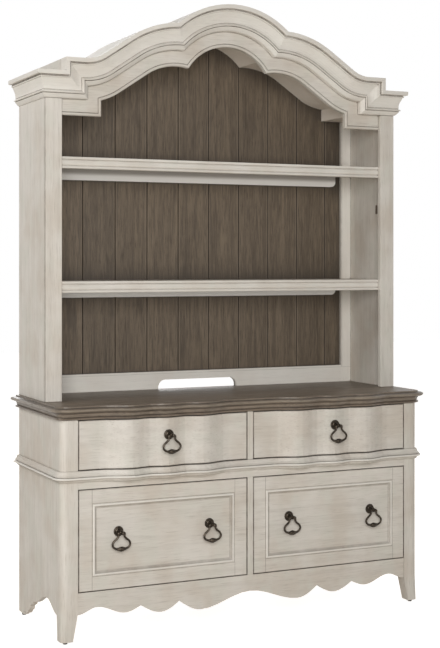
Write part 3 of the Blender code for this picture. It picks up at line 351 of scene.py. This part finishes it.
def back_frame_lines(tree, box):
    """Darker lines along the inner edges of the back frame's stiles and along its rail."""
    low, high = box
    x, _, z = split(tree, own_coordinates(tree))
    stile = (high.x - low.x) / 2 - BACK_STILE_WIDTH
    rail_line = low.z + BACK_RAIL_HEIGHT - BACK_RAIL_BEAD
    on_stile = band(tree, from_middle(tree, x, low.x, high.x), stile + 0.0025, *BACK_STILE_LINE)
    above_rail = math_node(tree, "GREATER_THAN", z, rail_line)
    on_stile = math_node(tree, "MULTIPLY", on_stile, above_rail)
    on_rail = band(tree, z, rail_line, *BACK_RAIL_LINE)
    return strongest(tree, [on_stile, on_rail])


# Materials

def paint(name, along, turns=False, upright_from=None, lines=None, even_lines=False, crest=None,
          glaze_and_shade=0.90, hollow_span=(0.24, 0.72), painted_light=0.0, painted_light_colour=PAINTED_LIGHT_PAINT, wavy=None):
    """Antique white paint, brushed along the grain, with brown glaze and painted shade in the hollows, and
    rubbed edges.

    lines and crest each hold a mask function and its values: lines for drawn glaze and painted shade, crest
    for a painted highlight on a bead. A share of paler paint mixed in stands for painted light.
    """
    material, tree, shader = start_material(name)
    place = own_coordinates(tree)
    grain = grain_vector(tree, along, turns)
    if upright_from:
        off_middle = math_node(tree, "ABSOLUTE", split(tree, place)[0])
        on_stile = math_node(tree, "GREATER_THAN", off_middle, upright_from)
        grain = mix(tree, on_stile, grain, grain_vector(tree, "z"), "VECTOR")
    cloud = noise(tree, place, 5.0, 3.0, 0.55)
    colour = lay(tree, PAINT_PALE, PAINT_WARM, cloud, (0.38, 0.66), (0.0, 1.0))
    tint = noise(tree, stretch(tree, place, (1.3, 1.1, 0.9)), 9.0)
    colour = lay(tree, colour, PAINT_COOL, tint, (0.46, 0.66), (0.0, 0.70))
    broad = noise(tree, grain, 55.0, 3.0, 0.6)
    colour = lay(tree, colour, RUBBED, broad, (0.35, 0.75), (0.0, 0.15))
    fine = noise(tree, grain, 300.0, 5.0, 0.68)
    colour = lay(tree, colour, RUBBED, fine, (0.50, 0.78), (0.0, 0.40))
    colour = lay(tree, colour, PAINT_STREAK, fine, (0.22, 0.44), (0.18, 0.0))
    # Painted light: a paler paint mixed in by the given share
    if painted_light:
        colour = mix(tree, painted_light, colour, painted_light_colour)

    patchy = smooth_range(tree, noise(tree, place, 26.0, 3.0, 0.6), 0.30, 0.70, 0.55, 1.0)
    # Glaze and painted shade in the hollows, by how closed in each spot is
    hollow = smooth_range(tree, closeness(tree, 0.008, False), *hollow_span)
    hollow = math_node(tree, "MULTIPLY", hollow, math_node(tree, "MULTIPLY", patchy, glaze_and_shade))
    # Painted highlight along a bead
    if crest:
        helper, values = crest
        colour = mix(tree, helper(tree, values), colour, PAINTED_BEAD_HIGHLIGHT)
    if lines:
        helper, values = lines
        drawn = helper(tree, values)
        if not even_lines:
            drawn = math_node(tree, "MULTIPLY", drawn, patchy)
        hollow = math_node(tree, "MAXIMUM", hollow, drawn)
    colour = mix(tree, hollow, colour, GLAZE_AND_PAINTED_SHADE)
    edge = smooth_range(tree, closeness(tree, 0.0028, True), 0.42, 0.85)
    edge = math_node(tree, "MULTIPLY", edge, math_node(tree, "MULTIPLY", patchy, 0.42))
    colour = mix(tree, edge, colour, RUBBED)

    wire(tree, colour, shader.inputs["Base Color"])
    shine = smooth_range(tree, fine, 0.25, 0.75, 0.50, 0.66)
    dull = math_node(tree, "MULTIPLY", hollow, 0.2)
    wire(tree, math_node(tree, "ADD", shine, dull), shader.inputs["Roughness"])
    bump(tree, shader, fine, 0.22, 0.0006, even_curve(tree, wavy) if wavy else None)
    return material


def plank_wood():
    """Weathered brown boards, each with its own tone and grain, darkest in the grooves, with painted shade
    where they lie closed in and painted highlights beside the grooves.
    """
    material, tree, shader = start_material("weathered_planks")
    x, y, z = split(tree, own_coordinates(tree))
    from_first = math_node(tree, "DIVIDE", math_node(tree, "SUBTRACT", x, PLANK_SHIFT), PLANK_WIDTH)
    board_place = math_node(tree, "ADD", from_first, 0.5)
    pick = tree.nodes.new("ShaderNodeTexWhiteNoise")
    pick.noise_dimensions = "1D"
    wire(tree, math_node(tree, "ADD", math_node(tree, "FLOOR", board_place), 7.0), pick.inputs["W"])
    own_tone = pick.outputs["Value"]
    shift = tree.nodes.new("ShaderNodeCombineXYZ")
    wire(tree, x, shift.inputs[0])
    wire(tree, y, shift.inputs[1])
    wire(tree, math_node(tree, "ADD", z, math_node(tree, "MULTIPLY", own_tone, 9.0)), shift.inputs[2])
    place = shift.outputs[0]
    flow = stretch(tree, place, (1.0, 1.0, PLANK_SQUEEZE))
    figure = stretch(tree, place, (1.0, 1.0, FIGURE_SQUEEZE))

    wander = math_node(tree, "MULTIPLY", noise(tree, figure, 9.0), 1.6)
    rings = noise(tree, flow, 60.0, 4.0, 0.6, wander)
    colour = lay(tree, PLANK_MIDDLE, PLANK_PALE, rings, (0.30, 0.70), (0.0, 1.0))
    fine = noise(tree, flow, 360.0, 5.0, 0.72)
    colour = lay(tree, colour, PLANK_DARK, fine, (0.47, 0.68), (0.0, 0.85))
    colour = lay(tree, colour, PLANK_WORN_AND_HIGHLIGHT, fine, (0.30, 0.42), (0.5, 0.0))
    streaks = noise(tree, flow, 130.0, 3.0, 0.6, 0.4)
    colour = lay(tree, colour, PLANK_DARK, streaks, (0.52, 0.72), (0.0, 0.55))
    knots = noise(tree, figure, 17.0, 3.0, 0.6)
    colour = lay(tree, colour, PLANK_DARK, knots, (0.54, 0.76), (0.0, 0.60))
    colour = lay(tree, colour, PLANK_FIGURE, knots, (0.24, 0.42), (0.35, 0.0))
    tone = smooth_range(tree, own_tone, 0.0, 1.0, 0.91, 1.09)
    colour = mix(tree, 1.0, colour, grey(tree, tone), blend="MULTIPLY")

    off_board = math_node(tree, "SUBTRACT", math_node(tree, "FRACT", board_place), 0.5)
    off_groove = math_node(tree, "SUBTRACT", 0.5, math_node(tree, "ABSOLUTE", off_board))
    # Painted highlight beside each groove, broken up by the knot noise
    groove_highlight = band(tree, math_node(tree, "MULTIPLY", off_groove, PLANK_WIDTH), 0.0042, 0.0022, 0.60)
    groove_highlight = math_node(tree, "MULTIPLY", groove_highlight, smooth_range(tree, knots, 0.35, 0.60, 0.25, 1.0))
    colour = mix(tree, groove_highlight, colour, PLANK_WORN_AND_HIGHLIGHT)
    # Painted shade wherever the boards are closed in within 12 cm
    colour = lay(tree, colour, PLANK_PAINTED_SHADE, closeness(tree, 0.12, False), (0.14, 0.56), (0.0, 0.76))
    colour = lay(tree, colour, PLANK_GROOVE, closeness(tree, 0.006, False), (0.25, 0.90), (0.0, 0.70))
    wire(tree, colour, shader.inputs["Base Color"])
    wire(tree, smooth_range(tree, fine, 0.3, 0.7, 0.50, 0.68), shader.inputs["Roughness"])
    bump(tree, shader, fine, 0.35, 0.0008)
    return material


def counter_wood():
    """Dark grey-brown stain over open grain, rubbed paler at its outer edges, with painted highlights and
    painted shade in level lines along the moulded edge and painted shade in its hollows.
    """
    material, tree, shader = start_material("stained_counter")
    grain = grain_vector(tree, "x", turns=True)
    broad = noise(tree, grain, 60.0, 4.0, 0.62, 0.6)
    colour = lay(tree, COUNTER_MIDDLE, COUNTER_PALE, broad, (0.32, 0.70), (0.0, 1.0))
    fine = noise(tree, grain, 330.0, 5.0, 0.7)
    colour = lay(tree, colour, COUNTER_DARK, fine, (0.46, 0.74), (0.0, 0.85))
    worn = noise(tree, own_coordinates(tree), 18.0, 3.0, 0.6)
    edge = smooth_range(tree, closeness(tree, 0.005, True), 0.35, 0.85)
    edge = math_node(tree, "MULTIPLY", edge, smooth_range(tree, worn, 0.30, 0.62, 0.25, 0.85))
    colour = mix(tree, edge, colour, COUNTER_WORN_AND_HIGHLIGHT)
    # Painted highlights in level lines along the moulded edge
    painted_highlights = height_lines(tree, under_top("countertop", COUNTER_HIGHLIGHT_LINES))
    painted_highlights = math_node(tree, "MULTIPLY", painted_highlights, smooth_range(tree, worn, 0.30, 0.62, 0.30, 1.0))
    colour = mix(tree, painted_highlights, colour, COUNTER_WORN_AND_HIGHLIGHT)
    # Painted shade in level lines along the moulded edge and in the hollows
    painted_shade_lines = height_lines(tree, under_top("countertop", COUNTER_SHADE_LINES))
    painted_shade_lines = math_node(tree, "MULTIPLY", painted_shade_lines, smooth_range(tree, worn, 0.35, 0.65, 1.0, 0.55))
    hollow = smooth_range(tree, closeness(tree, 0.008, False), 0.30, 0.90, 0.0, 0.85)
    colour = mix(tree, math_node(tree, "MAXIMUM", hollow, painted_shade_lines), colour, COUNTER_PAINTED_SHADE)
    wire(tree, colour, shader.inputs["Base Color"])
    wire(tree, smooth_range(tree, fine, 0.3, 0.7, 0.36, 0.52), shader.inputs["Roughness"])
    bump(tree, shader, fine, 0.30, 0.0006)
    return material


def drawer_wood():
    """Bare pale wood of the boxes, runners and hidden panels."""
    material, tree, shader = start_material("drawer_wood")
    grain = grain_vector(tree, "x", turns=True)
    broad = noise(tree, grain, 40.0, 4.0, 0.6, 0.8)
    colour = lay(tree, DRAWER_WOOD_PALE, DRAWER_WOOD_DARK, broad, (0.30, 0.70), (0.0, 1.0))
    fine = noise(tree, grain, 280.0, 4.0, 0.6)
    colour = lay(tree, colour, DRAWER_WOOD_GRAIN, fine, (0.55, 0.80), (0.0, 0.45))
    wire(tree, colour, shader.inputs["Base Color"])
    wire(tree, smooth_range(tree, fine, 0.3, 0.7, 0.50, 0.66), shader.inputs["Roughness"])
    bump(tree, shader, fine, 0.20, 0.0005)
    return material


def bronze():
    """Cast pulls with a dark patina, rubbed on their outer edges."""
    material, tree, shader = start_material("dark_bronze")
    place = own_coordinates(tree)
    cloud = noise(tree, place, 160.0, 3.0, 0.6)
    colour = lay(tree, BRONZE, BRONZE_CLOUD, cloud, (0.35, 0.70), (0.0, 0.5))
    colour = lay(tree, colour, BRONZE_RUBBED, closeness(tree, 0.0022, True), (0.45, 0.90), (0.0, 0.55))
    wire(tree, colour, shader.inputs["Base Color"])
    shader.inputs["Metallic"].default_value = METALLIC
    wire(tree, smooth_range(tree, cloud, 0.3, 0.7, 0.24, 0.42), shader.inputs["Roughness"])
    bump(tree, shader, noise(tree, place, 420.0), 0.20, 0.0004)
    return material


def plastic(name, dull, bright):
    """Moulded plastic with a fine texture."""
    material, tree, shader = start_material(name)
    grain = noise(tree, own_coordinates(tree), 900.0)
    wire(tree, lay(tree, dull, bright, grain, (0.3, 0.7), (0.0, 1.0)), shader.inputs["Base Color"])
    wire(tree, smooth_range(tree, grain, 0.3, 0.7, 0.42, 0.58), shader.inputs["Roughness"])
    bump(tree, shader, grain, 0.15, 0.0003)
    return material


# Which piece wears which material

paint_along_x = paint("paint_along_x", "x")
paint_upright = paint("paint_upright", "z")
paint_waist = paint("paint_waist", "x", turns=True, glaze_and_shade=0.42,
                    lines=(height_lines, under_top("waist_molding", WAIST_SHADE_LINES)),
                    crest=(height_lines, under_top("waist_molding", WAIST_BEAD_HIGHLIGHT_LINES)))
# The shelf edges, back frame, crown and soffit get a share of paler paint as painted light
paint_shelf_edge = paint("paint_shelf_edge", "x", glaze_and_shade=0.60, painted_light=0.25)
back_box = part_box("back_frame")
paint_back_frame = paint("paint_back_frame", "x", upright_from=back_box[1].x - BACK_STILE_WIDTH,
                         lines=(back_frame_lines, back_box), painted_light=0.45)
paint_crown = paint("paint_crown", "x", turns=True, glaze_and_shade=1.0, hollow_span=(0.17, 0.58), painted_light=0.38)
paint_frieze = paint("paint_frieze", "x", glaze_and_shade=1.0, hollow_span=(0.17, 0.58))
paint_soffit = paint("paint_soffit", "x", painted_light=0.85, painted_light_colour=SOFFIT_PAINTED_LIGHT)
planks = plank_wood()
counter = counter_wood()
bare = drawer_wood()
metal = bronze()
dark = plastic("dark_plastic", PLASTIC, PLASTIC_PALE)
plate = plastic("brown_plate", PLATE, PLATE_PALE)

MATERIAL_OF_PIECE = {
    "arch_soffit": paint_soffit,
    "back_frame": paint_back_frame,
    "back_planks": planks,
    "base_back": bare,
    "base_bottom": bare,
    "countertop": counter,
    "crown_molding": paint_crown,
    "frieze_board": paint_frieze,
    "light_touch_plate": plate,
    "waist_molding": paint_waist,
}
MATERIAL_OF_KIND = (
    ("shelf_edge", paint_shelf_edge),
    (("front_leg", "rear_leg", "base_side", "hutch_side", "center_divider"), paint_upright),
    (("upper_drawer_box", "lower_drawer_box", "drawer_runner", "drawer_guide"), bare),
    ("pull_", metal),
    ("foot_glide", dark),
)


def material_for(name):
    """A piece's own paint where its lines lie at its own places, or else the one of its kind."""
    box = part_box(name)
    own_name = "paint_" + name
    if name.startswith("lower_drawer_front"):
        return paint(own_name, "x", lines=(drawer_lines, box), crest=(drawer_bead_highlight, box))
    if name.startswith("upper_drawer_front"):
        return paint(own_name, "x", lines=(rim_lines, box), wavy=box)
    # The cleats get paler paint as painted light and a line of painted shadow along their top
    if name.startswith("shelf_cleat"):
        shade = (height_lines, under_top(name, CLEAT_SHADE_LINES))
        return paint(own_name, "x", lines=shade, even_lines=True, painted_light=0.95, painted_light_colour=CLEAT_PAINTED_LIGHT)
    if name.startswith("hutch_post"):
        outer = box[0].x if name.endswith("left") else box[1].x
        return paint(own_name, "z", lines=(upright_line, (outer, *POST_EDGE_LINE)))
    if name in MATERIAL_OF_PIECE:
        return MATERIAL_OF_PIECE[name]
    for start, material in MATERIAL_OF_KIND:
        if name.startswith(start):
            return material
    return paint_along_x


for name in nodes:
    material = material_for(name)
    for place in nodes[name].material_slots:
        place.material = material


# Camera

camera_data = bpy.data.cameras.new("photo_camera")
camera = bpy.data.objects.new("photo_camera", camera_data)
bpy.context.scene.collection.objects.link(camera)
front_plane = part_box("front_leg_left")[0].y
camera.location = (CAMERA_X, front_plane - CAMERA_BEFORE_FRONT, CAMERA_HEIGHT)
camera.rotation_euler = (math.radians(90), 0, math.radians(CAMERA_TURN))
camera_data.sensor_width = SENSOR_WIDTH
camera_data.lens = FOCAL_PIXELS * SENSOR_WIDTH / IMAGE_HEIGHT
camera_data.shift_y = (HORIZON_ROW - IMAGE_HEIGHT / 2) / IMAGE_HEIGHT
bpy.context.scene.camera = camera


# Light: one soft lamp in front and one on each other side, in an even pale surround

def add_area(name, target, azimuth, elevation, distance, size, power):
    data = bpy.data.lights.new(name, "AREA")
    data.shape = "SQUARE"
    data.size = size
    data.energy = power
    lamp = bpy.data.objects.new(name, data)
    bpy.context.scene.collection.objects.link(lamp)
    turn = math.radians(azimuth)
    rise = math.radians(elevation)
    way = Vector((math.sin(turn) * math.cos(rise), -math.cos(turn) * math.cos(rise), math.sin(rise)))
    lamp.location = Vector(target) + way * distance
    lamp.rotation_euler = (-way).to_track_quat("-Z", "Y").to_euler()


def seen_as_background(tree):
    """1 for camera, glossy and transmission rays, and 0 for the rays that light the object."""
    paths = tree.nodes.new("ShaderNodeLightPath")
    rays = ("Is Camera Ray", "Is Glossy Ray", "Is Transmission Ray")
    return strongest(tree, [paths.outputs[ray] for ray in rays])


def add_surround():
    world = bpy.data.worlds.new("pale_surround")
    bpy.context.scene.world = world
    world.use_nodes = True
    tree = world.node_tree
    background = tree.nodes["Background"]
    wire(tree, WHITE, background.inputs["Color"])
    strength = smooth_range(tree, seen_as_background(tree), 0.0, 1.0, SURROUND, 1.0)
    wire(tree, strength, background.inputs["Strength"])


def add_floor():
    mesh = bpy.data.meshes.new("floor")
    reach = FLOOR_REACH
    corners = [(-reach, -reach, 0), (reach, -reach, 0), (reach, reach, 0), (-reach, reach, 0)]
    mesh.from_pydata(corners, [], [(0, 1, 2, 3)])
    floor = bpy.data.objects.new("floor", mesh)
    bpy.context.scene.collection.objects.link(floor)
    material, tree, shader = start_material("pale_floor")
    wire(tree, FLOOR, shader.inputs["Base Color"])
    shader.inputs["Roughness"].default_value = 0.9
    glow = tree.nodes.new("ShaderNodeEmission")
    wire(tree, WHITE, glow.inputs["Color"])
    strength = math_node(tree, "MULTIPLY", seen_as_background(tree), FLOOR_GLOW)
    wire(tree, strength, glow.inputs["Strength"])
    both = tree.nodes.new("ShaderNodeAddShader")
    tree.links.new(shader.outputs[0], both.inputs[0])
    tree.links.new(glow.outputs[0], both.inputs[1])
    tree.links.new(both.outputs[0], tree.nodes["Material Output"].inputs["Surface"])
    mesh.materials.append(material)


for lamp_values in LAMPS:
    add_area(*lamp_values)
add_surround()
add_floor()
bpy.context.scene.view_settings.view_transform = "Standard"
